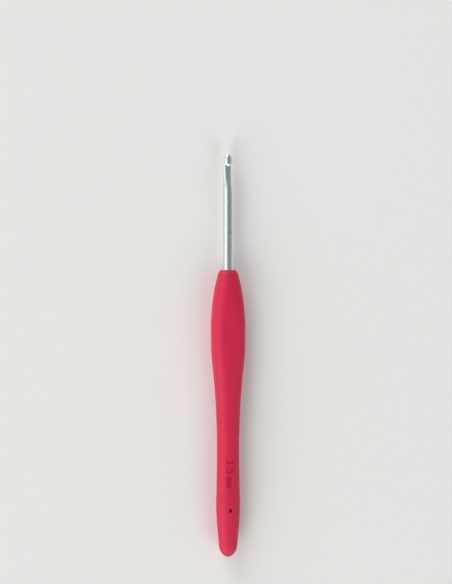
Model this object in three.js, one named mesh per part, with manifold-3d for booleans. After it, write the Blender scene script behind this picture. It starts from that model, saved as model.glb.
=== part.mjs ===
// A soft-grip crochet hook, 3.5 mm gauge, lying on its back with the throat and the thumb rest up.
//
// It has three pieces. A drawn aluminium rod carries the hook's head and throat at one end, and
// its other end, the tang, is buried in the handle. A hard core is moulded round the tang, which
// has pressed notches so that it can't turn or pull out. A soft skin is moulded over the core and
// through windows in it, and gives the handle its outer form.
//
// Millimetres. +Y runs along the rod to the hook's point, +Z is up, out of the throat, and the
// origin is under the middle of the hook, on the surface that it lies on.

import * as THREE from 'three';
import { LoftGeometry } from 'three/addons/geometries/LoftGeometry.js';
import { mergeVertices } from 'three/addons/utils/BufferGeometryUtils.js';
import Module from 'manifold-3d';

// ---- Driving dimensions ------------------------------------------------------------------

const GAUGE = 3.5; // diameter of the rod, which is the size the hook is sold by
const OVERALL = 140; // point to butt
const HANDLE = 99.5; // nose to butt
const TANG = 40; // length of rod inside the handle

const REST_THICKNESS = 9.4; // handle's thickness between the thumb rest and the finger rest
const REST_DEPTH = 0.3; // how far each rest is cut into the round of the handle
const NOSE_DOME = 2.4; // length over which the nose rounds down to the rod
const NOSE_RIM = 0.35; // least width of soft skin showing round the rod at the nose
const BUTT_DOME = 4; // length over which the butt rounds off
const BUTT_FLAT = 0.15; // share of the section left as a flat at the very end

const SKIN = 1.2; // thickness of the soft skin over the core
const CORE_WALL = 0.7; // least thickness of the core round the tang, at the core's front end
const CORE_CHAMFER = 0.6; // at both ends of the core
const BUTT_WALL = 4.4; // soft material behind the core
const GAP = 0.2; // modelled between pieces that are moulded onto each other

const NOTCH_DEPTH = 0.4; // pressed into the tang from above and below
const NOTCH_BULGE = 0.2; // by which the pressing widens each side of the tang
const NOTCH_LENGTH = 5;
const NOTCHES_FROM_NOSE = [15, 25];
const TANG_CHAMFER = 0.5;

const WINDOW_LENGTH = 6; // of each opening through the core that the skin keys into
const WINDOW_WIDTH = 2.2;
const WINDOW_PITCH = 10;
const LAST_WINDOW_FROM_BUTT = 22;
const WINDOW_TO_TANG = 3; // solid core kept between the tang's end and the first window

const PIN_HOLE = 1.3; // diameter of the hole left by the pin that held the core in the mould
const PIN_HOLE_FROM_BUTT = 16.4;

// The handle's width at stations along it. Those of the front are measured back from the nose
// and those of the tail forward from the butt, so that a longer handle gets a longer waist.
const BELLY = { at: 23.5, width: 11.8 };
const WIDTHS_FROM_NOSE = [
  { at: -4, width: 4.6 },
  { at: 0, width: 6.4 },
  { at: 7, width: 9.6 },
  { at: 12.5, width: 11 },
  { at: 18, width: 11.7 },
  BELLY,
  { at: 28.5, width: 11.5 },
  { at: 33.5, width: 10.6 },
  { at: 38.5, width: 9.6 },
];
const WIDTHS_FROM_BUTT = [
  { at: 42, width: 7.8 },
  { at: 32, width: 7.75 },
  { at: 24, width: 8.05 },
  { at: 17.5, width: 8.3 },
  { at: 12, width: 7.8 },
  { at: 6, width: 6.75 },
  { at: 0, width: 5.85 },
];

// The form of the section at a few stations: flatness is its thickness over its width, and
// square is how square it is, where 2 is an ellipse.
const NOSE_FORM = { flatness: 0.89, square: 2.05 };
const BELLY_FORM = {
  flatness: (REST_THICKNESS + 2 * REST_DEPTH) / BELLY.width,
  square: 2.65,
};
const WAIST_FORM = { fromButt: 40, flatness: 0.94, square: 2.2 };
const TAIL_FORM = { fromButt: 17.5, flatness: 0.89, square: 2.15 };
const BUTT_FORM = { fromButt: 0, flatness: 0.94, square: 2.0 };

// The hook's head and throat, in radii of the rod, as ribs from the point back. A rib is one
// section, and it leans so that its front edge can run down the lip and turn in under it. Front
// and back are [distance back from the point, height above the rod's axis]; half is the half
// width; widest says where the widest line lies, from 0 at the back to 1 at the front; and square
// is how square the front half is.
const HEAD_RIBS = [
  { front: [0.0, -0.06], back: [0.0, -0.06], half: 0.0, widest: 0.5, square: 2.0 },
  { front: [0.07, 0.2], back: [0.07, -0.34], half: 0.3, widest: 0.5, square: 2.0 },
  { front: [0.29, 0.46], back: [0.26, -0.58], half: 0.56, widest: 0.5, square: 2.0 },
  { front: [0.69, 0.66], back: [0.55, -0.74], half: 0.77, widest: 0.5, square: 2.0 },
  { front: [1.24, 0.79], back: [0.83, -0.82], half: 0.88, widest: 0.5, square: 1.9 },
  { front: [1.84, 0.84], back: [1.0, -0.85], half: 0.91, widest: 0.5, square: 1.8 },
  { front: [2.26, 0.81], back: [1.1, -0.86], half: 0.89, widest: 0.5, square: 1.7 },
  { front: [2.46, 0.7], back: [1.2, -0.87], half: 0.86, widest: 0.5, square: 1.7 },
  { front: [2.42, 0.55], back: [1.32, -0.88], half: 0.84, widest: 0.5, square: 1.8 },
  { front: [2.16, 0.28], back: [1.52, -0.89], half: 0.83, widest: 0.5, square: 1.9 },
  { front: [2.0, 0.06], back: [1.78, -0.9], half: 0.83, widest: 0.48, square: 2.0 },
  { front: [2.06, -0.08], back: [2.06, -0.9], half: 0.84, widest: 0.45, square: 2.05 },
  { front: [2.46, -0.11], back: [2.5, -0.91], half: 0.85, widest: 0.42, square: 2.1 },
  { front: [3.4, -0.02], back: [3.4, -0.92], half: 0.86, widest: 0.42, square: 2.1 },
  { front: [4.6, 0.2], back: [4.6, -0.93], half: 0.87, widest: 0.44, square: 2.1 },
  { front: [5.8, 0.52], back: [5.8, -0.95], half: 0.89, widest: 0.46, square: 2.05 },
  { front: [6.9, 0.83], back: [6.9, -0.98], half: 0.95, widest: 0.49, square: 2.0 },
  { front: [7.7, 0.97], back: [7.7, -1.0], half: 0.99, widest: 0.5, square: 2.0 },
  { front: [8.5, 1.0], back: [8.5, -1.0], half: 1.0, widest: 0.5, square: 2.0 },
  { front: [9.3, 1.0], back: [9.3, -1.0], half: 1.0, widest: 0.5, square: 2.0 },
];

// How finely the curved surfaces are faceted.
const ROD_SIDES = 24;
const HANDLE_SIDES = 32;
const CORE_SIDES = 24;
const STEPS_PER_RIB = 2;
const BODY_STEP = 3.2;
const DOME_STEPS = 5;

// ---- What follows from them --------------------------------------------------------------

const ROD_RADIUS = GAUGE / 2;
const ROD_HOLE = ROD_RADIUS + GAP;
const AXIS_HEIGHT = REST_THICKNESS / 2;
const POINT_Y = OVERALL / 2;
const NOSE_Y = HANDLE - OVERALL / 2;

const WIDTHS = [
  ...WIDTHS_FROM_NOSE,
  ...WIDTHS_FROM_BUTT.map(({ at, width }) => ({ at: HANDLE - at, width })),
];
const FORMS = [
  { at: 0, ...NOSE_FORM },
  { at: BELLY.at, ...BELLY_FORM },
  ...[WAIST_FORM, TAIL_FORM, BUTT_FORM].map((form) => ({ at: HANDLE - form.fromButt, ...form })),
];

const wasm = await Module();
wasm.setup();

// ---- Sections and lofts ------------------------------------------------------------------

// The value of key at a distance behind the nose: a smooth cubic through the stations, whose
// slope at each is the weighted mean of the slopes to its neighbours.
function along(stations, key, distance) {
  const last = stations.length - 1;
  const length = (i) => stations[i + 1].at - stations[i].at;
  const rise = (i) => (stations[i + 1][key] - stations[i][key]) / length(i);
  const slope = (i) => {
    if (i === 0) return rise(0);
    if (i === last) return rise(last - 1);
    const whole = length(i - 1) + length(i);
    return (rise(i - 1) * length(i) + rise(i) * length(i - 1)) / whole;
  };
  let i = 0;
  while (i < last - 1 && distance > stations[i + 1].at) i += 1;
  const t = (distance - stations[i].at) / length(i);
  const eased = rise(i) * t * t * (3 - 2 * t);
  const leaving = slope(i) * t * (1 - t) * (1 - t);
  const arriving = slope(i + 1) * t * t * (1 - t);
  return stations[i][key] + length(i) * (eased + leaving - arriving);
}

const widthAt = (distance) => along(WIDTHS, 'width', distance);
const thicknessAt = (distance) => widthAt(distance) * along(FORMS, 'flatness', distance);

// A signed power, which turns a circle's sine and cosine into a superellipse's.
const bend = (value, power) => Math.sign(value) * Math.abs(value) ** power;

// A ring of points across the rod or the handle at a distance behind the nose, anticlockwise as
// seen from the butt.
function oval({ distance, halfWidth, halfThickness, square = 2, sides }) {
  return Array.from({ length: sides }, (_, k) => {
    const angle = (2 * Math.PI * k) / sides;
    const x = halfWidth * bend(Math.cos(angle), 2 / square);
    const z = halfThickness * bend(Math.sin(angle), 2 / square);
    return new THREE.Vector3(x, NOSE_Y - distance, AXIS_HEIGHT + z);
  });
}

// A quarter of an ellipse: how large a section is when part of the dome's length is passed.
const dome = (part) => (part >= 1 ? 1 : Math.sqrt(1 - (1 - part) ** 2));

// The distance from a dome's end at which it has grown to a share of its full size.
const domeDepth = (length, share) => length * (1 - Math.sqrt(1 - share ** 2));

// The nose's dome is cut off where its thickness leaves just the rim round the rod.
const NOSE_CUT = domeDepth(NOSE_DOME, (ROD_HOLE + NOSE_RIM) / (thicknessAt(0) / 2));

// The handle's outer ring at a distance behind the nose, brought in by an inset. The two rests
// cut it flat above and below.
function handleRing(distance, inset, sides) {
  const nose = dome((distance + NOSE_CUT) / NOSE_DOME);
  const butt = Math.max(BUTT_FLAT, dome((HANDLE - distance) / BUTT_DOME));
  const ring = oval({
    distance,
    halfWidth: (widthAt(distance) / 2) * nose * butt - inset,
    halfThickness: (thicknessAt(distance) / 2) * nose * butt - inset,
    square: along(FORMS, 'square', distance),
    sides,
  });
  const rest = REST_THICKNESS / 2 - inset;
  ring.forEach((point) => {
    point.z = AXIS_HEIGHT + Math.max(-rest, Math.min(rest, point.z - AXIS_HEIGHT));
  });
  return ring;
}

// Evenly spaced values from start to end, both included, no further apart than step.
function spaced(start, end, step) {
  const count = Math.max(1, Math.ceil((end - start) / step));
  return Array.from({ length: count + 1 }, (_, i) => start + ((end - start) * i) / count);
}

// Distances from a dome's end along it, closer together where it is rounder, starting where it
// has a share of its full size.
function domeDistances(length, share) {
  const start = Math.asin(share);
  const step = (Math.PI / 2 - start) / DOME_STEPS;
  return spaced(start, Math.PI / 2, step).map((angle) => length * (1 - Math.cos(angle)));
}

// A closed geometry as a solid that can be cut and joined.
function solidOf(geometry) {
  const bare = new THREE.BufferGeometry();
  bare.setAttribute('position', geometry.attributes.position);
  bare.setIndex(geometry.index);
  const merged = mergeVertices(bare, 1e-4);
  return new wasm.Manifold(
    new wasm.Mesh({
      numProp: 3,
      vertProperties: merged.attributes.position.array,
      triVerts: new Uint32Array(merged.index.array),
    }),
  );
}

const loft = (rings, capStart = true) =>
  solidOf(new LoftGeometry(rings, { capStart, capEnd: true }));

function meshOf(name, solid, material) {
  const found = solid.getMesh();
  const geometry = new THREE.BufferGeometry();
  geometry.setAttribute('position', new THREE.BufferAttribute(found.vertProperties, 3));
  geometry.setIndex(new THREE.BufferAttribute(found.triVerts, 1));
  geometry.computeVertexNormals();
  const mesh = new THREE.Mesh(geometry, material);
  mesh.name = name;
  return mesh;
}

// ---- The hook ----------------------------------------------------------------------------

// One leaning rib as a ring of points, with its rails read at t, from 0 at the point to 1 at the
// plain rod.
function ribRing(rails, t) {
  const front = rails.front.getPoint(t);
  const back = rails.back.getPoint(t);
  const { x: half, y: widest, z: square } = rails.form.getPoint(t);
  const middle = new THREE.Vector3().lerpVectors(back, front, widest);
  return Array.from({ length: ROD_SIDES }, (_, k) => {
    const angle = (2 * Math.PI * k) / ROD_SIDES;
    const reach = Math.sin(angle);
    const power = reach >= 0 ? 2 / square : 1;
    const edge = reach >= 0 ? front : back;
    const point = new THREE.Vector3().lerpVectors(middle, edge, Math.abs(reach) ** power);
    point.x += half * bend(Math.cos(angle), power);
    return point;
  });
}

function headRings() {
  const onAxis = ([distance, height]) =>
    new THREE.Vector3(0, POINT_Y - distance * ROD_RADIUS, AXIS_HEIGHT + height * ROD_RADIUS);
  const curve = (points) => new THREE.CatmullRomCurve3(points, false, 'centripetal');
  const rails = {
    front: curve(HEAD_RIBS.map((rib) => onAxis(rib.front))),
    back: curve(HEAD_RIBS.map((rib) => onAxis(rib.back))),
    form: curve(
      HEAD_RIBS.map((rib) => new THREE.Vector3(rib.half * ROD_RADIUS, rib.widest, rib.square)),
    ),
  };
  return spaced(0, 1, 1 / (STEPS_PER_RIB * (HEAD_RIBS.length - 1))).map((t) => ribRing(rails, t));
}

// A ring round the tang. A notch thins it from above and below and widens it a little.
function tangRing(distance, radius) {
  const pressed = NOTCHES_FROM_NOSE.reduce((sum, centre) => {
    const part = Math.min(1, Math.abs(distance - centre) / (NOTCH_LENGTH / 2));
    return sum + Math.cos((part * Math.PI) / 2) ** 2;
  }, 0);
  return oval({
    distance,
    halfWidth: radius + NOTCH_BULGE * pressed,
    halfThickness: radius - NOTCH_DEPTH * pressed,
    sides: ROD_SIDES,
  });
}

// Distances behind the nose at which the tang needs a ring: its ends and along each notch.
function tangDistances(start, end) {
  const notches = NOTCHES_FROM_NOSE.flatMap((centre) =>
    spaced(centre - NOTCH_LENGTH / 2, centre + NOTCH_LENGTH / 2, NOTCH_LENGTH / 6),
  );
  return [start, ...notches.filter((distance) => distance > start && distance < end), end];
}

function hookSolid() {
  const bareRod = OVERALL - HANDLE - HEAD_RIBS.at(-1).front[0] * ROD_RADIUS;
  const rod = [
    ...spaced(-bareRod, 0, bareRod / 2).slice(1),
    ...tangDistances(0, TANG - TANG_CHAMFER).slice(1),
  ];
  return loft(
    [
      ...headRings(),
      ...rod.map((distance) => tangRing(distance, ROD_RADIUS)),
      tangRing(TANG, ROD_RADIUS - TANG_CHAMFER),
    ],
    false,
  );
}

// The space that the tang fills, grown by the gap, from a distance behind the nose.
const tangSpace = (start) =>
  loft(tangDistances(start, TANG + GAP).map((distance) => tangRing(distance, ROD_HOLE)));

// ---- The core ----------------------------------------------------------------------------

// The core starts where the handle is thick enough for the skin, the core's wall and the tang.
const CORE_START = spaced(0, HANDLE / 2, 0.25).find(
  (distance) => thicknessAt(distance) / 2 >= SKIN + CORE_WALL + ROD_HOLE,
);
const CORE_END = HANDLE - BUTT_WALL;

// The core's outside, grown by extra on every side.
function coreBody(extra) {
  const start = CORE_START - extra;
  const end = CORE_END + extra;
  const inset = SKIN - extra;
  return loft([
    handleRing(start, inset + CORE_CHAMFER, CORE_SIDES),
    ...spaced(start + CORE_CHAMFER, end - CORE_CHAMFER, BODY_STEP).map((distance) =>
      handleRing(distance, inset, CORE_SIDES),
    ),
    handleRing(end, inset + CORE_CHAMFER, CORE_SIDES),
  ]);
}

// Round-ended pegs up through the core, one for each window that fits behind the tang, brought
// in on every side by an inset.
function windowPegs(inset) {
  const half = WINDOW_WIDTH / 2;
  const straight = WINDOW_LENGTH / 2 - half;
  const outline = new THREE.Shape();
  outline.absarc(0, straight, half - inset, 0, Math.PI, false);
  outline.absarc(0, -straight, half - inset, Math.PI, 2 * Math.PI, false);
  outline.closePath();
  const options = { depth: REST_THICKNESS, bevelEnabled: false, curveSegments: 8 };
  const last = HANDLE - LAST_WINDOW_FROM_BUTT;
  const room = last - WINDOW_LENGTH / 2 - WINDOW_TO_TANG - TANG;
  return Array.from({ length: 1 + Math.floor(room / WINDOW_PITCH) }, (_, i) => {
    const peg = new THREE.ExtrudeGeometry(outline, options);
    peg.translate(0, NOSE_Y - last + i * WINDOW_PITCH, 0);
    return solidOf(peg);
  });
}

const without = (solid, cuts) => cuts.reduce((left, cut) => left.subtract(cut), solid);

const coreSolid = () => without(coreBody(0), [tangSpace(CORE_START - 1), ...windowPegs(0)]);

// ---- The soft grip -----------------------------------------------------------------------

function gripBody() {
  const noseShare = dome(NOSE_CUT / NOSE_DOME);
  const nose = domeDistances(NOSE_DOME, noseShare).map((distance) => distance - NOSE_CUT);
  const butt = domeDistances(BUTT_DOME, BUTT_FLAT)
    .slice(1)
    .map((distance) => HANDLE - distance)
    .reverse();
  const body = spaced(nose.at(-1), butt[0], BODY_STEP).slice(1, -1);
  const distances = [...nose, ...body, ...butt, HANDLE];
  return loft(distances.map((distance) => handleRing(distance, 0, HANDLE_SIDES)));
}

function gripSolid() {
  const rodLength = CORE_START + 2;
  const rodHole = new THREE.CylinderGeometry(ROD_HOLE, ROD_HOLE, rodLength, ROD_SIDES);
  rodHole.translate(0, NOSE_Y + 1 - rodLength / 2, AXIS_HEIGHT);
  const pinHole = new THREE.CylinderGeometry(PIN_HOLE / 2, PIN_HOLE / 2, AXIS_HEIGHT, 16);
  pinHole.rotateX(Math.PI / 2);
  pinHole.translate(0, NOSE_Y - HANDLE + PIN_HOLE_FROM_BUTT, 1.5 * AXIS_HEIGHT);
  const hollow = without(coreBody(GAP), windowPegs(GAP));
  return without(gripBody(), [hollow, solidOf(rodHole), solidOf(pinHole)]);
}

// ---- The assembly ------------------------------------------------------------------------

const drawnAluminium = new THREE.MeshStandardMaterial({
  color: 0xc9cfd2,
  roughness: 0.3,
  metalness: 1,
});
const hardPlastic = new THREE.MeshStandardMaterial({
  color: 0x9c1f3b,
  roughness: 0.45,
  metalness: 0,
});
const softElastomer = new THREE.MeshStandardMaterial({
  color: 0xcd2a4b,
  roughness: 0.6,
  metalness: 0,
});

const crochetHook = new THREE.Group();
crochetHook.add(meshOf('hook', hookSolid(), drawnAluminium));
crochetHook.add(meshOf('handle_core', coreSolid(), hardPlastic));
crochetHook.add(meshOf('soft_grip', gripSolid(), softElastomer));

export default crochetHook;
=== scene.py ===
# %% [markdown]
# # A crochet hook with a soft handle
#
# The hook is three real pieces: a drawn aluminium rod with a head and a throat worked into one
# end, a hard core moulded round the rod's other end, and a soft skin moulded over the core. A CAD
# model already fixes their places and sizes. This lesson replaces the two pieces that show, the
# rod and the skin, with fine surfaces, and gives all three pieces their finishes.
#
# Everything below is in millimetres until it goes into a mesh, because that is how a hook is
# measured. Blender's own unit is the metre.

# %% Load the CAD frame
import math

import bpy
import numpy as np
from mathutils import Matrix, Vector


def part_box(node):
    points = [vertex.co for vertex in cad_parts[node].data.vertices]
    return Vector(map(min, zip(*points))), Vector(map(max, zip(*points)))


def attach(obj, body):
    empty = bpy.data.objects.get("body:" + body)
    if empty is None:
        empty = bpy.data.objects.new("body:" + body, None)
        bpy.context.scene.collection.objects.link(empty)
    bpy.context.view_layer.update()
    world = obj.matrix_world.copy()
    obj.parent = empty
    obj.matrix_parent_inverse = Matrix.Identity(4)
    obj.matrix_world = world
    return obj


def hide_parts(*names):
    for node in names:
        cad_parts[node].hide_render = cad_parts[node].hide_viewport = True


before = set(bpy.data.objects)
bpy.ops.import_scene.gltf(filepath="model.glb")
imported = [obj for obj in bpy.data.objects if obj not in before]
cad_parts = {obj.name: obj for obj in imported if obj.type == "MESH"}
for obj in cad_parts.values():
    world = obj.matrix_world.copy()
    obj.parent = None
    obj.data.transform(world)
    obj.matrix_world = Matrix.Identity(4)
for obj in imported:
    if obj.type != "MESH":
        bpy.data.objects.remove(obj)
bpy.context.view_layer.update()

print("CAD nodes:", sorted(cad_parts))

# %% [markdown]
# ## Sizes that come from the frame
#
# The hook lies along the Y axis with its point at high Y, and its throat and thumb rest face up.
# The rod's radius, the handle's ends and the height of the axis can all be read off the boxes of
# the CAD pieces, so nothing has to be placed by eye.

# %% Read the sizes
MM = 0.001

hook_low, hook_high = (np.array(corner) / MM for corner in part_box("hook"))
grip_low, grip_high = (np.array(corner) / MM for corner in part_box("soft_grip"))
core_low, core_high = (np.array(corner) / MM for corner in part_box("handle_core"))

ROD_RADIUS = (hook_high[2] - hook_low[2]) / 2
POINT_Y = hook_high[1]
NOSE_Y = grip_high[1]
HANDLE = grip_high[1] - grip_low[1]
TANG = NOSE_Y - hook_low[1]
CORE_START = NOSE_Y - core_high[1]
CORE_END = NOSE_Y - core_low[1]
REST_THICKNESS = grip_high[2] - grip_low[2]
AXIS_HEIGHT = (grip_low[2] + grip_high[2]) / 2

print(f"gauge {2 * ROD_RADIUS:.2f}, bare rod {POINT_Y - NOSE_Y:.1f}, handle {HANDLE:.1f} mm")

# %% [markdown]
# ## The camera
#
# The hook lies on its back and is seen from above, from a little to its left, which is the same
# view as that of a hook that has rolled a little about its own axis. A long lens from half a metre
# away keeps both ends of the handle the same size. The camera's up direction is the way that the
# hook points, so the hook stands upright in the picture.

# %% Place the camera
LENS = 85
SENSOR = 36
PICTURE_HEIGHT = 202.7
AIM = Vector((-0.75, 21.9, AXIS_HEIGHT))
ROLL = math.radians(16)

camera = bpy.data.objects.new("camera", bpy.data.cameras.new("camera"))
bpy.context.scene.collection.objects.link(camera)
bpy.context.scene.camera = camera
camera.data.lens = LENS
camera.data.sensor_width = SENSOR
camera.data.clip_start = 0.01
camera.data.clip_end = 20

reach = PICTURE_HEIGHT * LENS / SENSOR
upwards = Vector((0, 1, 0))
backwards = Vector((-math.sin(ROLL), 0, math.cos(ROLL)))
camera.location = (AIM + backwards * reach) * MM
camera.rotation_euler = Matrix((upwards.cross(backwards), upwards, backwards)).transposed().to_euler()
print(f"camera {reach:.0f} mm from the hook, {math.degrees(ROLL):.0f} degrees round from its front")

# %% [markdown]
# ## Smooth curves and closed tubes
#
# Both pieces are closed tubes: a section is carried along the rod, and the section changes as it
# goes. As data that is a grid of points. A row of the grid is one section, and a column is one
# line that runs along the piece. Rows that shrink to a point close the ends.
#
# The section's sizes are known only at a few places, so a smooth curve is drawn through them. A
# cubic whose slope at each point comes from its two neighbours passes through every size given
# and doesn't swing past them much, which a single high polynomial would.


# %% Helpers for curves and tubes
def curve(knots, values, at):
    """Reads a smooth curve at the places in at.

    Between two knots it is the cubic that has the right value and slope at both. The slope at a
    knot is the mean of the slopes to its neighbours, each weighted by the other's distance.
    """
    knots = np.asarray(knots, float)
    values = np.asarray(values, float)
    length = np.diff(knots)
    rise = np.diff(values) / length
    inner = (rise[:-1] * length[1:] + rise[1:] * length[:-1]) / (length[:-1] + length[1:])
    slope = np.concatenate((rise[:1], inner, rise[-1:]))
    i = np.clip(np.searchsorted(knots, at, side="right") - 1, 0, len(length) - 1)
    t = (at - knots[i]) / length[i]
    eased = rise[i] * t * t * (3 - 2 * t)
    leaving = slope[i] * t * (1 - t) ** 2
    arriving = slope[i + 1] * t * t * (1 - t)
    return values[i] + length[i] * (eased + leaving - arriving)


def smooth_step(low, high, at):
    """Goes from 0 at low to 1 at high, level at both ends: 3 t squared minus 2 t cubed."""
    t = np.clip((at - low) / (high - low), 0, 1)
    return t * t * (3 - 2 * t)


def closed_tube(name, rows, holes=(), walls=()):
    """Makes a mesh object from a grid of points, rows by columns by 3, in millimetres.

    Neighbouring rows are joined by quads, and the last column to the first. The first and last
    rows are single points, so triangles close both ends. Each hole is a slice of rows and a slice
    of columns whose faces are left out, and walls gives quads of (row, column) pairs that join
    the holes' rims. Points that no face uses are dropped at the end.
    """
    row_count, column_count, _ = rows.shape
    index = np.arange(row_count * column_count).reshape(row_count, column_count)
    index[0] = index[0, 0]
    index[-1] = index[-1, 0]
    after = np.roll(index, -1, axis=1)
    keep = np.ones((row_count - 1, column_count), bool)
    keep[0] = keep[-1] = False
    for rows_cut, columns_cut in holes:
        keep[rows_cut, columns_cut] = False
    quads = np.stack((index[:-1], after[:-1], after[1:], index[1:]), axis=-1)[keep]
    if len(walls):
        quads = np.concatenate((quads, index[walls[..., 0], walls[..., 1]]))
    first_end = np.stack((index[0], after[1], index[1]), axis=-1)
    last_end = np.stack((index[-2], after[-2], index[-1]), axis=-1)
    ends = np.concatenate((first_end, last_end))
    used, renumbered = np.unique(np.concatenate((quads.ravel(), ends.ravel())), return_inverse=True)
    quads, ends = renumbered[:quads.size].reshape(-1, 4), renumbered[quads.size:].reshape(-1, 3)
    mesh = bpy.data.meshes.new(name)
    mesh.from_pydata(rows.reshape(-1, 3)[used] * MM, [], quads.tolist() + ends.tolist())
    mesh.polygons.foreach_set("use_smooth", np.ones(len(mesh.polygons), bool))
    mesh.update()
    piece = bpy.data.objects.new(name, mesh)
    bpy.context.scene.collection.objects.link(piece)
    print(f"{name}: {row_count} by {column_count} points, {len(mesh.polygons)} faces")
    return piece


# %% [markdown]
# ## The hook's head and throat
#
# On a real hook the head is pressed out of the rod and the throat is milled under it, and then
# the whole is tumbled until no edge can catch the yarn. Seen from the side, the throat is cut
# under the lip, so a stack of upright sections can't make it: one upright line would have to
# cross the metal twice. The sections lean instead. Each is a rib between a point on the front
# line, which runs down the lip and turns in under it, and a point on the back line.
#
# Distances and heights are in radii of the rod, from the point and from the axis, because hooks
# of every gauge share nearly the same proportions.

# %% Draw the ribs
# Each rib: front distance, front height, back distance, back height, half width, where its widest
# line lies between back (0) and front (1), and how square its front half is (2 is an ellipse).
HEAD_RIBS = np.array([
    (0.00, -0.06, 0.00, -0.06, 0.00, 0.50, 2.0),
    (0.07, 0.20, 0.07, -0.34, 0.30, 0.50, 2.0),
    (0.29, 0.46, 0.26, -0.58, 0.56, 0.50, 2.0),
    (0.69, 0.66, 0.55, -0.74, 0.77, 0.50, 2.0),
    (1.24, 0.79, 0.83, -0.82, 0.88, 0.50, 1.9),
    (1.84, 0.84, 1.00, -0.85, 0.91, 0.50, 1.8),
    (2.26, 0.81, 1.10, -0.86, 0.89, 0.50, 1.7),
    (2.46, 0.70, 1.20, -0.87, 0.86, 0.50, 1.7),
    (2.42, 0.55, 1.32, -0.88, 0.84, 0.50, 1.8),
    (2.16, 0.28, 1.52, -0.89, 0.83, 0.50, 1.9),
    (2.00, 0.06, 1.78, -0.90, 0.83, 0.48, 2.0),
    (2.06, -0.08, 2.06, -0.90, 0.84, 0.45, 2.05),
    (2.46, -0.11, 2.50, -0.91, 0.85, 0.42, 2.1),
    (3.40, -0.02, 3.40, -0.92, 0.86, 0.42, 2.1),
    (4.60, 0.20, 4.60, -0.93, 0.87, 0.44, 2.1),
    (5.80, 0.52, 5.80, -0.95, 0.89, 0.46, 2.05),
    (6.90, 0.83, 6.90, -0.98, 0.95, 0.49, 2.0),
    (7.70, 0.97, 7.70, -1.00, 0.99, 0.50, 2.0),
    (8.50, 1.00, 8.50, -1.00, 1.00, 0.50, 2.0),
    (9.30, 1.00, 9.30, -1.00, 1.00, 0.50, 2.0),
])
STEPS_PER_RIB = 10
ROD_COLUMNS = 96


def rail(points, steps):
    """Runs a smooth line through points, one row each, with steps between neighbours.

    The line's knots are spaced by the square root of the distance between the points, which keeps
    a line from looping where points crowd together. A point that repeats gets a gap of 1.
    """
    gaps = np.linalg.norm(np.diff(points, axis=0), axis=1) ** 0.5
    gaps[gaps < 0.001] = 1
    knots = np.concatenate(([0], np.cumsum(gaps)))
    order = np.arange(len(points))
    at = np.interp(np.linspace(0, order[-1], order[-1] * steps + 1), order, knots)
    return np.stack([curve(knots, column, at) for column in points.T], axis=-1)


def head_rows():
    """Every rib of the head as a ring of points, from the point of the hook to the plain rod.

    A ring's angle runs once round. Its sine says how far a point reaches from the widest line
    towards the front or the back edge, its cosine how far out to the side it lies, and in the
    front half both are raised to 2 over the squareness, which makes a superellipse.
    """
    front = rail(HEAD_RIBS[:, 0:2] * ROD_RADIUS, STEPS_PER_RIB)
    back = rail(HEAD_RIBS[:, 2:4] * ROD_RADIUS, STEPS_PER_RIB)
    form = rail(HEAD_RIBS[:, 4:7] * (ROD_RADIUS, 1, 1), STEPS_PER_RIB)
    half, widest, square = (form[:, k, None] for k in range(3))
    angle = 2 * np.pi * np.arange(ROD_COLUMNS) / ROD_COLUMNS
    sine, cosine = np.sin(angle)[None], np.cos(angle)[None]
    power = np.where(sine >= 0, 2 / square, 1)
    middle = back + (front - back) * widest
    edge = np.where(sine[..., None] >= 0, front[:, None], back[:, None])
    reach = (np.abs(sine) ** power)[..., None]
    along = middle[:, None] + (edge - middle[:, None]) * reach
    side = half * np.sign(cosine) * np.abs(cosine) ** power
    return np.stack((side, POINT_Y - along[..., 0], AXIS_HEIGHT + along[..., 1]), axis=-1)


print(f"{len(HEAD_RIBS)} ribs over {HEAD_RIBS[-1, 0] * ROD_RADIUS:.1f} mm")


# %% [markdown]
# ## The rod and its tang
#
# Behind the throat the rod is plain drawn bar. Inside the handle it has two notches, pressed in
# from above and below, which stop it turning and pulling out. Pressing moves metal sideways, so
# the rod is a little wider where it is thinner.

# %% Build the hook
NOTCHES = (15, 25)
NOTCH_LENGTH = 5
NOTCH_DEPTH = 0.4
NOTCH_BULGE = 0.2
TANG_CHAMFER = 0.5


def rod_rows(distances, radii):
    """Rings of the plain rod, at distances behind the handle's nose.

    The ring is a circle. Near a notch its height loses and its width gains a share of a squared
    cosine, which is 1 in the middle of the notch and 0 at its ends.
    """
    pressed = np.zeros(len(distances))
    for centre in NOTCHES:
        part = np.clip(np.abs(distances - centre) / (NOTCH_LENGTH / 2), 0, 1)
        pressed += np.cos(part * np.pi / 2) ** 2
    angle = 2 * np.pi * np.arange(ROD_COLUMNS) / ROD_COLUMNS
    wide = (radii + NOTCH_BULGE * pressed * (radii > 0))[:, None]
    high = (radii - NOTCH_DEPTH * pressed * (radii > 0))[:, None]
    y = np.broadcast_to(NOSE_Y - distances[:, None], (len(distances), ROD_COLUMNS))
    return np.stack((wide * np.cos(angle), y, AXIS_HEIGHT + high * np.sin(angle)), axis=-1)


# A straight rod needs few rows. The notched stretch gets one for each quarter of a millimetre.
throat_end = NOSE_Y - POINT_Y + HEAD_RIBS[-1, 0] * ROD_RADIUS
notches_start = NOTCHES[0] - NOTCH_LENGTH / 2
notches_end = NOTCHES[-1] + NOTCH_LENGTH / 2
plain = np.concatenate((
    np.linspace(throat_end, notches_start, 24)[1:],
    np.linspace(notches_start, notches_end, 61)[1:],
    np.linspace(notches_end, TANG - TANG_CHAMFER, 6)[1:],
))
distances = np.concatenate((plain, [TANG, TANG]))
radii = np.concatenate((np.full(len(plain), ROD_RADIUS), [ROD_RADIUS - TANG_CHAMFER, 0]))
hook = closed_tube("crochet_hook_rod", np.concatenate((head_rows(), rod_rows(distances, radii))))

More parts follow.
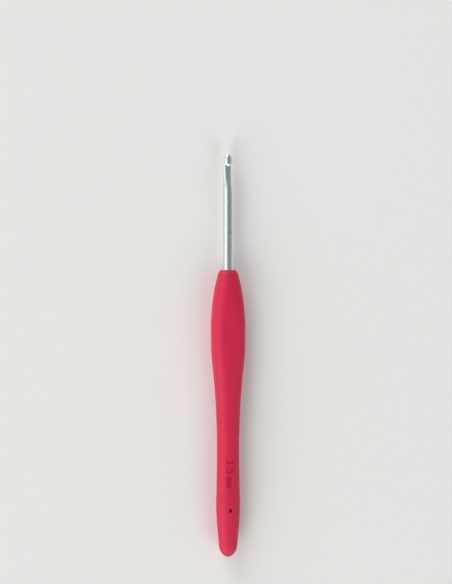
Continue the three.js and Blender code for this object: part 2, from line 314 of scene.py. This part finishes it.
# %% [markdown]
# ## The handle's form
#
# The soft handle is widest under the thumb, slims to a waist where the palm closes, swells again
# towards the butt and rounds off. Its section is a superellipse, rounder than a box and squarer
# than an ellipse, which is squarest at the belly. Two flats, a thumb rest on top and a finger
# rest beneath, are cut into the belly.
#
# One function gives any point of the handle from a distance behind the nose and an angle round
# it. The same function, brought in by the skin's thickness, gives the inside of the skin.

# %% The handle's surface as a function
# The CAD handle is as wide as the belly. The fine one carries a raised parting line on each side,
# and its smooth curve swells a little past the belly's width, so the belly starts out narrower.
PARTING_HEIGHT = 0.025
CURVE_SWELL = 0.08
BELLY_FROM_NOSE = 23.5
BELLY_WIDTH = grip_high[0] - grip_low[0] - 2 * PARTING_HEIGHT - CURVE_SWELL
REST_DEPTH = 0.3
REST_SOFTNESS = 0.3  # how gently the two rests run out into the belly
NOSE_DOME = 2.4
NOSE_RIM = 0.55
BUTT_DOME = 4

# Distances from the nose and widths there, and the same for the tail measured from the butt.
FRONT_AT = np.array((-4, 0, 7, 12.5, 18, BELLY_FROM_NOSE, 28.5, 33.5, 38.5))
FRONT_WIDTHS = np.array((4.6, 6.4, 9.6, 11, 11.7, BELLY_WIDTH, 11.5, 10.6, 9.6))
TAIL_AT = np.array((42, 32, 24, 17.5, 12, 6, 0))
TAIL_WIDTHS = np.array((7.8, 7.75, 8.05, 8.3, 7.8, 6.75, 5.85))

# Thickness over width, and squareness, at the nose, belly, waist, tail and butt.
FORM_AT = np.array((0, BELLY_FROM_NOSE, HANDLE - 40, HANDLE - 17.5, HANDLE))
FLATNESS = np.array((0.89, (REST_THICKNESS + 2 * REST_DEPTH) / BELLY_WIDTH, 0.94, 0.89, 0.94))
SQUARENESS = np.array((2.05, 2.65, 2.2, 2.15, 2.0))


def width_at(distance):
    """The handle's full width at distances behind its nose, before its ends are rounded off."""
    stations = np.concatenate((FRONT_AT, HANDLE - TAIL_AT))
    return curve(stations, np.concatenate((FRONT_WIDTHS, TAIL_WIDTHS)), distance)


def dome(part):
    """A quarter of an ellipse: a section's share of its full size, a part of the way up a dome."""
    return np.sqrt(1 - (1 - np.clip(part, 0, 1)) ** 2)


# The nose's dome is cut off where its flat face leaves a rim of soft skin round the rod.
nose_share = 2 * (ROD_RADIUS + NOSE_RIM) / float(width_at(0) * FLATNESS[0])
NOSE_CUT = NOSE_DOME * (1 - math.sqrt(1 - nose_share**2))


def handle_surface(distance, angle, inset=0):
    """Points of the handle at a distance behind its nose and an angle round it, from the side.

    The cosine of the angle gives the place across, and the height is what a superellipse leaves:
    the n-th root of 1 minus the cosine to the power n. A smooth minimum cuts the two rests: half
    of the height, less half of the root of its squared distance from the limit plus a small
    square, so the cut has no sharp edge. Half of that root at a height of 0 is added, which
    makes the minimum 0 there, so that the front and the back meet at the side.
    """
    size = dome((distance + NOSE_CUT) / NOSE_DOME) * dome((HANDLE - distance) / BUTT_DOME)
    wide = width_at(distance) / 2
    high = wide * curve(FORM_AT, FLATNESS, distance)
    square = curve(FORM_AT, SQUARENESS, distance)
    across = np.cos(angle)
    up = np.maximum(0, 1 - np.abs(across) ** square) ** (1 / square)
    up = np.maximum(high * size - inset, 0) * up
    rest = REST_THICKNESS / 2 - inset
    soft = REST_SOFTNESS**2
    cut = (up - np.sqrt((up - rest) ** 2 + soft) + np.sqrt(rest**2 + soft)) / 2
    x = np.maximum(wide * size - inset, 0) * across
    z = np.sign(np.sin(angle)) * cut
    return np.stack(np.broadcast_arrays(x, NOSE_Y - distance, AXIS_HEIGHT + z), axis=-1)


waist = width_at(np.linspace(BELLY_FROM_NOSE, HANDLE - TAIL_AT[3], 200)).min()
print(f"belly {BELLY_WIDTH:.1f} wide, {REST_THICKNESS:.1f} thick, waist {waist:.2f} wide")

# %% [markdown]
# ## The gauge mark
#
# The size is pressed into the soft skin near the butt, in figures 2.4 mm tall with strokes 0.4 mm
# wide. In the mould they are raised ribs. The figures here are plain strokes and arcs with round
# ends, as an engraver's single-line letters are, and they run down the handle with their tops to
# the right. The groove is real geometry: how deep a point of the skin is pressed depends only on
# its distance from the nearest stroke.

# %% Draw the figures
STROKE = 0.4
STROKE_DEPTH = 0.32
STROKE_EDGE = 0.06
FIGURE_HEIGHT = 2.4
MARK_FROM_BUTT = 34.2
ARC_POINTS = 13


def arc(middle, radius, start, end):
    """Points on a circle about middle, from one angle to another in degrees."""
    angle = np.radians(np.linspace(start, end, ARC_POINTS))
    return np.stack((middle[0] + radius * np.cos(angle), middle[1] + radius * np.sin(angle)), axis=-1)


# Each figure is a chain of points in millimetres: along the handle, and up from its foot.
THREE = np.concatenate((arc((0.76, 1.8), 0.6, 150, -90), arc((0.72, 0.63), 0.63, 85, -150)))
FIVE = np.concatenate((
    [(1.38, FIGURE_HEIGHT), (0.36, FIGURE_HEIGHT)],
    arc((0.7, 0.74), 0.74, 130, -150),
))
POINT = np.array(((0, 0.05), (0.01, 0.05)))
EM = np.concatenate((
    [(0, 1.45), (0, 0)],
    arc((0.36, 1.1), 0.36, 180, 0),
    [(0.72, 0)],
    arc((1.08, 1.1), 0.36, 180, 0),
    [(1.44, 0)],
))
# The mark: how far along each figure starts, and the figure.
MARK = ((0, THREE), (2.2, POINT), (3.15, FIVE), (6.15, EM), (8.25, EM))


def groove(distance, x):
    """How deep the mark is pressed at places on the front of the handle.

    Each stroke is a chain of straight pieces. The distance to a piece is that to its nearest
    point, found by dropping a perpendicular and stopping at the ends. The depth is full within
    half a stroke of the nearest piece, and none a little beyond it.
    """
    start, end = [], []
    for shift, stroke in MARK:
        stroke = stroke + (HANDLE - MARK_FROM_BUTT + shift, -FIGURE_HEIGHT / 2)
        start.append(stroke[:-1])
        end.append(stroke[1:])
    start, end = np.concatenate(start), np.concatenate(end)
    place = np.stack((distance, x), axis=-1)[..., None, :]
    run = end - start
    part = np.clip(((place - start) * run).sum(-1) / (run * run).sum(-1), 0, 1)
    gap = np.linalg.norm(place - start - part[..., None] * run, axis=-1).min(-1)
    edges = STROKE / 2 - STROKE_EDGE, STROKE / 2 + STROKE_EDGE
    return STROKE_DEPTH * (1 - smooth_step(*edges, gap))


print(f"the mark is {MARK[-1][0] + EM[-1][0]:.1f} mm long and {STROKE_DEPTH} mm deep")


# %% [markdown]
# ## The locating hole
#
# Near the butt there is a small round hole through the skin. When the skin was moulded, a pin
# stood there to hold the core in the middle of the mould, and the core shows at the bottom of
# the hole. A round hole doesn't fit a grid of rows and columns, so the grid is bent to fit the
# hole: near it, square rings of grid points are drawn in to circles. The faces inside one circle
# are left out of the skin's outside and inside alike, and a wall joins the two rims.

# %% Bend the grid round the hole
HOLE_RADIUS = 0.65
HOLE_FROM_BUTT = 16.4
HOLE_RING = 8  # the square ring of the grid that becomes the hole's rim
HOLE_REACH = 18  # the last ring that is bent at all

hole_at = HANDLE - HOLE_FROM_BUTT
hole_half_width = float(width_at(hole_at)) / 2
pitch = HOLE_RADIUS / HOLE_RING


def ring_size(across, along):
    """The half size of the square ring round the hole that a place lies on."""
    return np.maximum(np.abs(across), np.abs(along))


def bend_round_hole(distance, angle):
    """Moves grid points on the front so that square rings round the hole become circles.

    A point is moved along its line from the hole's middle by its ring's half size over its own
    distance from the middle. That share fades out between the hole's rim and the last ring.
    """
    across = hole_half_width * np.cos(angle)
    along = distance - hole_at
    ring = ring_size(across, along)
    far = np.maximum(np.hypot(across, along), 1e-9)
    fade = 1 - smooth_step(HOLE_RADIUS, HOLE_REACH * pitch, ring)
    fade = fade * (np.sin(angle) > 0)
    pull = 1 + fade * (ring / far - 1)
    bent = np.arccos(np.clip(across * pull / hole_half_width, -1, 1))
    return hole_at + along * pull, np.where(np.sin(angle) > 0, bent, angle)


print(f"the hole is {2 * HOLE_RADIUS} mm across, {hole_at:.1f} mm behind the nose")


# %% [markdown]
# ## The soft skin
#
# The skin's grid starts inside, at the butt end of the space that the core fills. It runs up the
# inside to the nose, out through the rod's hole, over the rounded rim, and down the outside to
# the butt. Rows lie close together where there is fine detail, at the mark and the hole, and far
# apart where the surface is plain. Columns are closest along the front for the same reason. A
# faint raised line at each side is what the joint between the two mould halves leaves.

# %% Choose the skin's rows and columns
SKIN = 1.2
CORE_CLEARANCE = 0.2
CORE_CHAMFER = 0.6
ROD_CLEARANCE = 0.02
RIM_ROUND = 0.3
PLAIN_COLUMNS = 94
PARTING_STEP = 0.012  # radians between the columns that carry the parting line
MARK_MARGIN = 0.5
MARK_STRETCH = 11  # the mark's length with a margin at both ends

ring_steps = np.arange(-HOLE_REACH, HOLE_REACH + 1)
front_angles = np.arccos(-ring_steps * pitch / hole_half_width)
whole_turn = 2 * np.pi
parting_offsets = PARTING_STEP * np.arange(-2, 3)
angles = np.sort(np.concatenate((
    front_angles,
    np.linspace(front_angles[-1], front_angles[0] + whole_turn, PLAIN_COLUMNS)[1:-1],
    np.pi + parting_offsets,
    whole_turn + parting_offsets,
)))

nose_turn = math.acos(1 - NOSE_CUT / NOSE_DOME)
nose_end = NOSE_DOME - NOSE_CUT
mark_start = HANDLE - MARK_FROM_BUTT - MARK_MARGIN
mark_end = mark_start + MARK_STRETCH
ring_distances = hole_at + ring_steps * pitch

# From nose to butt the outside's stretches are the nose's dome, the plain skin, the mark, a short
# plain piece, the hole, the tail and the butt's dome. Rows are about 0.6 mm apart where the skin
# is plain and 0.07 mm apart at the mark, and on the domes they turn by equal angles.
outside = np.concatenate((
    NOSE_DOME * (1 - np.cos(np.linspace(nose_turn, np.pi / 2, 26))) - NOSE_CUT,
    np.linspace(nose_end, mark_start, 100)[1:],
    np.linspace(mark_start, mark_end, 150)[1:],
    np.linspace(mark_end, ring_distances[0], 14)[1:-1],
    ring_distances,
    np.linspace(ring_distances[-1], HANDLE - BUTT_DOME, 22)[1:],
    HANDLE - BUTT_DOME * (1 - np.cos(np.linspace(np.pi / 2, 0, 33)[1:])),
))
inside = np.concatenate((
    np.linspace(CORE_START - CORE_CLEARANCE + CORE_CHAMFER, ring_distances[0], 60)[:-1],
    ring_distances,
    np.linspace(ring_distances[-1], CORE_END + CORE_CLEARANCE - CORE_CHAMFER, 16)[1:],
))[::-1]
print(f"{len(outside)} rows outside, {len(inside)} inside, {len(angles)} columns")

# %% [markdown]
# The outside gets its small features last, as changes to the points' places: the mark's groove
# and the hole's worn rim lower the surface, and the parting line raises it sideways.

# %% Build the skin
PARTING_WIDTH = 0.12
HOLE_EDGE_DROP = 0.06
HOLE_EDGE_WIDTH = 0.14
SHARP_EDGE = 65  # degrees: the holes' rims and the mark's walls are sharper, and keep their edges


def outside_rows():
    """The handle's outside as rows of points, with the mark, the hole's rim and the parting line."""
    distance, angle = bend_round_hole(*np.meshgrid(outside, angles, indexing="ij"))
    points = handle_surface(distance, angle)
    front = np.sin(angle) > 0
    points[..., 2] -= groove(distance, points[..., 0]) * front
    far = np.hypot(points[..., 0], distance - hole_at)
    rounded = 1 - smooth_step(HOLE_RADIUS, HOLE_RADIUS + HOLE_EDGE_WIDTH, far)
    points[..., 2] -= HOLE_EDGE_DROP * rounded * front
    ridge = np.exp(-((points[..., 2] - AXIS_HEIGHT) / (PARTING_WIDTH / 2)) ** 2)
    points[..., 0] += PARTING_HEIGHT * ridge * np.sign(np.round(points[..., 0]))
    return points


def inside_rows():
    """The space for the core, from its butt end to the rod's hole at the nose."""
    inset = SKIN - CORE_CLEARANCE
    ends = CORE_START - CORE_CLEARANCE, CORE_END + CORE_CLEARANCE
    distance, angle = bend_round_hole(*np.meshgrid(inside, angles, indexing="ij"))
    points = handle_surface(distance, angle, inset)
    first = handle_surface(ends[1], angles, inset + CORE_CHAMFER)
    last = handle_surface(ends[0], angles, inset + CORE_CHAMFER)
    pole = np.broadcast_to(first.mean(0) * (0, 1, 0) + (0, 0, AXIS_HEIGHT), first.shape)
    return np.concatenate((pole[None], first[None], points, last[None]))


def nose_rows():
    """The rod's hole, a circle, and the rim that rounds from it out to the nose's oval.

    Along the rim a row is a mixture of the circle and the oval. The circle's share is the sine of
    a turn and the depth is one minus its cosine, so the rim leaves the hole straight and meets
    the nose level.
    """
    radius = ROD_RADIUS + ROD_CLEARANCE
    turn = np.linspace(np.pi / 2, 0, 9)[:-1]
    deep = np.linspace(CORE_START - CORE_CLEARANCE, RIM_ROUND, 6)[:-1]
    share = np.concatenate((np.ones(len(deep)), np.sin(turn)))[:, None]
    depth = np.concatenate((deep, RIM_ROUND * (1 - np.cos(turn))))[:, None]
    oval = handle_surface(0.0, angles)
    round_angle = np.arctan2(oval[:, 2] - AXIS_HEIGHT, oval[:, 0])
    x = share * radius * np.cos(round_angle) + (1 - share) * oval[:, 0]
    z = share * radius * np.sin(round_angle) + (1 - share) * (oval[:, 2] - AXIS_HEIGHT)
    return np.stack(np.broadcast_arrays(x, NOSE_Y - depth, AXIS_HEIGHT + z), axis=-1)


inner, nose, outer = inside_rows(), nose_rows(), outside_rows()
outer_middle = len(inner) + len(nose) + int(np.argmin(np.abs(outside - hole_at)))
inner_middle = 2 + int(np.argmin(np.abs(inside - hole_at)))
first_column = HOLE_REACH - HOLE_RING

# The hole's rim is a walk once round a square of grid points, along its four sides in turn. The
# inside's rows run the other way, from butt to nose, so its walk is mirrored.
width = 2 * HOLE_RING
side = np.arange(width)
far_side = np.full(width, width)
loop_row = np.concatenate((side * 0, side, far_side, side[::-1] + 1)) - HOLE_RING
loop_column = np.concatenate((side, far_side, side[::-1] + 1, side * 0)) + first_column
outer_rim = np.stack((outer_middle + loop_row, loop_column), axis=-1)
inner_rim = np.stack((inner_middle - loop_row, loop_column), axis=-1)
wall = np.stack((
    outer_rim, np.roll(outer_rim, -1, axis=0), np.roll(inner_rim, -1, axis=0), inner_rim,
), axis=1)
hole_columns = slice(first_column, first_column + width)
cuts = [
    (slice(middle - HOLE_RING, middle + HOLE_RING), hole_columns)
    for middle in (outer_middle, inner_middle)
]
grip = closed_tube("soft_grip_skin", np.concatenate((inner, nose, outer)), cuts, wall)
grip.data.set_sharp_from_angle(angle=math.radians(SHARP_EDGE))

# %% [markdown]
# ## Finishes
#
# Colours are written as sRGB hex values, as a paint chart gives them, and one function turns
# them to the linear values that Blender works in. One more function adds a node, so that each
# material reads as a short list of nodes.


# %% Helpers for materials
def linear(code):
    """Turns an sRGB hex colour such as CD2848 into linear red, green, blue and alpha."""
    parts = np.array([int(code[i:i + 2], 16) for i in (0, 2, 4)]) / 255
    parts = np.where(parts <= 0.04045, parts / 12.92, ((parts + 0.055) / 1.055) ** 2.4)
    return (*parts.tolist(), 1.0)


def add(tree, kind, sockets=(), **settings):
    """Adds a node, sets its properties, and gives its sockets their values or links."""
    made = tree.nodes.new(kind)
    for name, value in settings.items():
        setattr(made, name, value)
    for name, value in dict(sockets).items():
        if isinstance(value, bpy.types.NodeSocket):
            tree.links.new(value, made.inputs[name])
        else:
            made.inputs[name].default_value = value
    return made


def new_material(name):
    """An empty material and its node tree."""
    made = bpy.data.materials.new(name)
    made.use_nodes = True
    made.node_tree.nodes.clear()
    print("material", name)
    return made, made.node_tree


def finish_with(tree, shader):
    """Makes a shader the material's surface."""
    add(tree, "ShaderNodeOutputMaterial", {"Surface": shader.outputs[0]})


# %% [markdown]
# ### Drawn aluminium
#
# The bar was pulled through a die, which leaves hair-fine lines along it, and then tumbled and
# left bare. The eye gets a soft mirror: one bright band and one dark one along the rod, blurred
# more across the lines than along them. The real lines are a few hundredths of a millimetre
# apart. They are drawn a fifth of a millimetre apart here, or they wouldn't show.

# %% Drawn and tumbled aluminium
DRAW_LINE = 0.2
DRAW_LENGTH = 9.0
TUMBLE_SPOT = 1.6


def drawn_aluminium():
    """Bare aluminium: lines along the rod and soft spots, both in how sharply it mirrors."""
    made, tree = new_material("drawn_tumbled_aluminium")
    place = add(tree, "ShaderNodeTexCoord").outputs["Object"]
    line, length = 1 / (DRAW_LINE * MM), 1 / (DRAW_LENGTH * MM)
    stretched = add(tree, "ShaderNodeMapping", {"Vector": place, "Scale": (line, length, line)})
    lines = add(tree, "ShaderNodeTexNoise", {
        "Vector": stretched.outputs[0], "Scale": 1.0, "Detail": 3.0,
    })
    spots = add(tree, "ShaderNodeTexNoise", {
        "Vector": place, "Scale": 1 / (TUMBLE_SPOT * MM), "Detail": 4.0,
    })
    mixed = add(tree, "ShaderNodeMath", {
        0: lines.outputs[0], 1: spots.outputs[0],
    }, operation="MULTIPLY")
    gloss = add(tree, "ShaderNodeMapRange", {
        "Value": mixed.outputs[0], "From Min": 0.1, "From Max": 0.45, "To Min": 0.17, "To Max": 0.3,
    })
    tint = add(tree, "ShaderNodeMix", {
        "Factor": spots.outputs[0], "A": linear("DDE0E2"), "B": linear("EDEEEE"),
    }, data_type="RGBA")
    scratch = add(tree, "ShaderNodeBump", {
        "Height": lines.outputs[0], "Strength": 0.18, "Distance": 0.012 * MM,
    })
    finish_with(tree, add(tree, "ShaderNodeBsdfPrincipled", {
        "Base Color": tint.outputs["Result"], "Metallic": 1.0, "Roughness": gloss.outputs[0],
        "Normal": scratch.outputs[0],
    }))
    return made


# %% [markdown]
# ### Moulded elastomer
#
# The skin is a thermoplastic elastomer, coloured right through. Its mould was spark-eroded to a
# fine satin, so the skin has a pebbled grain of a few hundredths of a millimetre and no gloss,
# only a broad pale bloom where light grazes it. The grain is drawn at 0.12 mm, or none would show.
# Handling and moulding leave slow, cloudy changes in how matte it is, a centimetre or so across.

# %% Spark-textured elastomer
GRAIN = 0.12
CLOUD = 9.0


def soft_elastomer():
    """A dyed elastomer with a fine grain and slow changes in how matte it is."""
    made, tree = new_material("moulded_elastomer_satin")
    place = add(tree, "ShaderNodeTexCoord").outputs["Object"]
    grain = add(tree, "ShaderNodeTexNoise", {
        "Vector": place, "Scale": 1 / (GRAIN * MM), "Detail": 2.0,
    })
    cloud = add(tree, "ShaderNodeTexNoise", {
        "Vector": place, "Scale": 1 / (CLOUD * MM), "Detail": 3.0,
    })
    matte = add(tree, "ShaderNodeMapRange", {
        "Value": cloud.outputs[0], "From Min": 0.3, "From Max": 0.7, "To Min": 0.5, "To Max": 0.6,
    })
    colour = add(tree, "ShaderNodeMix", {
        "Factor": cloud.outputs[0], "A": linear("C70338"), "B": linear("D10B42"),
    }, data_type="RGBA")
    pebbles = add(tree, "ShaderNodeBump", {
        "Height": grain.outputs[0], "Strength": 0.25, "Distance": 0.02 * MM,
    })
    finish_with(tree, add(tree, "ShaderNodeBsdfPrincipled", {
        "Base Color": colour.outputs["Result"], "Roughness": matte.outputs[0], "IOR": 1.5,
        "Sheen Weight": 0.05, "Sheen Roughness": 0.4, "Sheen Tint": linear("FFC9D2"),
        "Normal": pebbles.outputs[0],
    }))
    return made


# %% [markdown]
# ### Moulded ABS
#
# The core is a stiff plastic such as ABS, in a darker crimson than the skin. Only a dot of it
# shows, at the bottom of the locating hole. Its surface is a plain satin with shallow flow marks.

# %% Moulded ABS
FLOW_MARK = 2.5


def hard_plastic():
    """A stiff dark plastic with shallow flow marks."""
    made, tree = new_material("moulded_abs_satin")
    place = add(tree, "ShaderNodeTexCoord").outputs["Object"]
    flow = add(tree, "ShaderNodeTexNoise", {
        "Vector": place, "Scale": 1 / (FLOW_MARK * MM), "Detail": 2.0,
    })
    colour = add(tree, "ShaderNodeMix", {
        "Factor": flow.outputs[0], "A": linear("7E1026"), "B": linear("8C152D"),
    }, data_type="RGBA")
    ripple = add(tree, "ShaderNodeBump", {
        "Height": flow.outputs[0], "Strength": 0.2, "Distance": 0.02 * MM,
    })
    finish_with(tree, add(tree, "ShaderNodeBsdfPrincipled", {
        "Base Color": colour.outputs["Result"], "Roughness": 0.4, "IOR": 1.54,
        "Normal": ripple.outputs[0],
    }))
    return made


# %% [markdown]
# ## Put the pieces on the frame
#
# Each new piece rides with the CAD body, takes the place of its CAD node, which is hidden, and
# gets its finish. The core keeps its CAD mesh, because its shape is already right, and only gets
# a material.

# %% Dress the pieces
for piece, node, slot, finish in (
    (hook, "hook", "drawn_aluminium", drawn_aluminium()),
    (grip, "soft_grip", "soft_elastomer", soft_elastomer()),
):
    piece.data.materials.append(finish)
    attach(piece, "root")
    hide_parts(node)
    print(f"{piece.name} stands for {node}, in {finish.name}")

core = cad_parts["handle_core"]
core.material_slots[0].material = hard_plastic()
print(f"{core.name} keeps its CAD mesh, in {core.material_slots[0].material.name}")

# %% [markdown]
# ## The table
#
# The table is a plain pale sheet, a hair below the hook's resting face so that the two don't
# fight for the same place. It is three metres wide, so a level view sees its far edge close to
# where a horizon would be.

# %% Lay the table
TABLE_SIZE = 3.0
TABLE_DROP = 0.03
PAPER_FIBRE = 1.1

half = TABLE_SIZE / 2
corners = ((-half, -half), (half, -half), (half, half), (-half, half))
table_mesh = bpy.data.meshes.new("table")
table_mesh.from_pydata([(x, y, -TABLE_DROP * MM) for x, y in corners], [], [(0, 1, 2, 3)])
table = bpy.data.objects.new("table", table_mesh)
bpy.context.scene.collection.objects.link(table)


def matte_paper():
    """Matte paper with faint fibres, kept dull at low angles by a weak specular."""
    made, tree = new_material("pale_matte_paper")
    place = add(tree, "ShaderNodeTexCoord").outputs["Object"]
    fibre = add(tree, "ShaderNodeTexNoise", {
        "Vector": place, "Scale": 1 / (PAPER_FIBRE * MM), "Detail": 2.0,
    })
    tint = add(tree, "ShaderNodeMix", {
        "Factor": fibre.outputs[0], "A": linear("ECE7E4"), "B": linear("F1ECE9"),
    }, data_type="RGBA")
    finish_with(tree, add(tree, "ShaderNodeBsdfPrincipled", {
        "Base Color": tint.outputs["Result"], "Roughness": 0.9, "Specular IOR Level": 0.2,
    }))
    return made


table_mesh.materials.append(matte_paper())
print(f"table {TABLE_SIZE:.0f} m wide, {TABLE_DROP} mm below the hook")

# %% [markdown]
# ## The light
#
# A bright rod shows little but its surroundings, so the lights are placed for the rod. A tall soft
# box at the left is what it mirrors as a bright band, and the room overhead, a cool mid grey, is
# what it mirrors as a dark one. The room grows paler towards the horizon, which keeps the rod's
# right edge from going dark against the table. The same box gives the handle its pink left side.
# It is big and stands well away, because a small box close by would burn out the table near it.
#
# Three wide, weak lights from far away do the rest. They reach all of the table equally, so it
# stays an even pale tone, and they leave only soft shadows on both sides of the hook.

# %% Place the lights
ROOM_HORIZON = "D7D7D7"
ROOM_OVERHEAD = "889596"
OVERHEAD_FROM = 0.7  # the share of straight up from which the room is as dark as it gets


def soft_box(name, place, size, power):
    """A rectangular light at a place in metres, turned to face what the camera looks at."""
    light = bpy.data.lights.new(name, "AREA")
    light.shape = "RECTANGLE"
    light.size, light.size_y = size
    light.energy = power
    box = bpy.data.objects.new(name, light)
    bpy.context.scene.collection.objects.link(box)
    box.location = place
    box.rotation_euler = (AIM * MM - Vector(place)).to_track_quat("-Z", "Y").to_euler()
    box.visible_camera = False
    print(f"{name}: {power} W over {size[0]} by {size[1]} m")


def far_light(name, place, strength, spread):
    """A soft light so far away that it reaches all of the table equally, from the way of place."""
    light = bpy.data.lights.new(name, "SUN")
    light.energy = strength
    light.angle = math.radians(spread)
    lamp = bpy.data.objects.new(name, light)
    bpy.context.scene.collection.objects.link(lamp)
    lamp.rotation_euler = Vector(place).to_track_quat("Z", "Y").to_euler()
    print(f"{name}: {strength} W per square metre, {spread} degrees wide")


def grey_room():
    """A world whose grey depends only on height: pale at the horizon, darker and cool overhead."""
    world = bpy.data.worlds.new("studio")
    world.use_nodes = True
    tree = world.node_tree
    tree.nodes.clear()
    way = add(tree, "ShaderNodeTexCoord").outputs["Generated"]
    height = add(tree, "ShaderNodeSeparateXYZ", {"Vector": way}).outputs["Z"]
    rise = add(tree, "ShaderNodeMapRange", {
        "Value": height, "From Min": 0.0, "From Max": OVERHEAD_FROM,
    }, interpolation_type="SMOOTHSTEP")
    shade = add(tree, "ShaderNodeMix", {
        "Factor": rise.outputs[0], "A": linear(ROOM_HORIZON), "B": linear(ROOM_OVERHEAD),
    }, data_type="RGBA")
    glow = add(tree, "ShaderNodeBackground", {"Color": shade.outputs["Result"]})
    add(tree, "ShaderNodeOutputWorld", {"Surface": glow.outputs[0]})
    return world


soft_box("left_soft_box", (-1.525, 0.0, 0.7), (1.75, 2.0), 9.0)
far_light("left_head_light", (-0.4, 0.75, 0.33), 1.3, 34)
far_light("left_butt_light", (-0.5, -0.6, 0.4), 1.35, 34)
far_light("right_butt_light", (0.45, -0.6, 0.5), 0.85, 40)
bpy.context.scene.world = grey_room()
bpy.context.scene.view_settings.view_transform = "Standard"
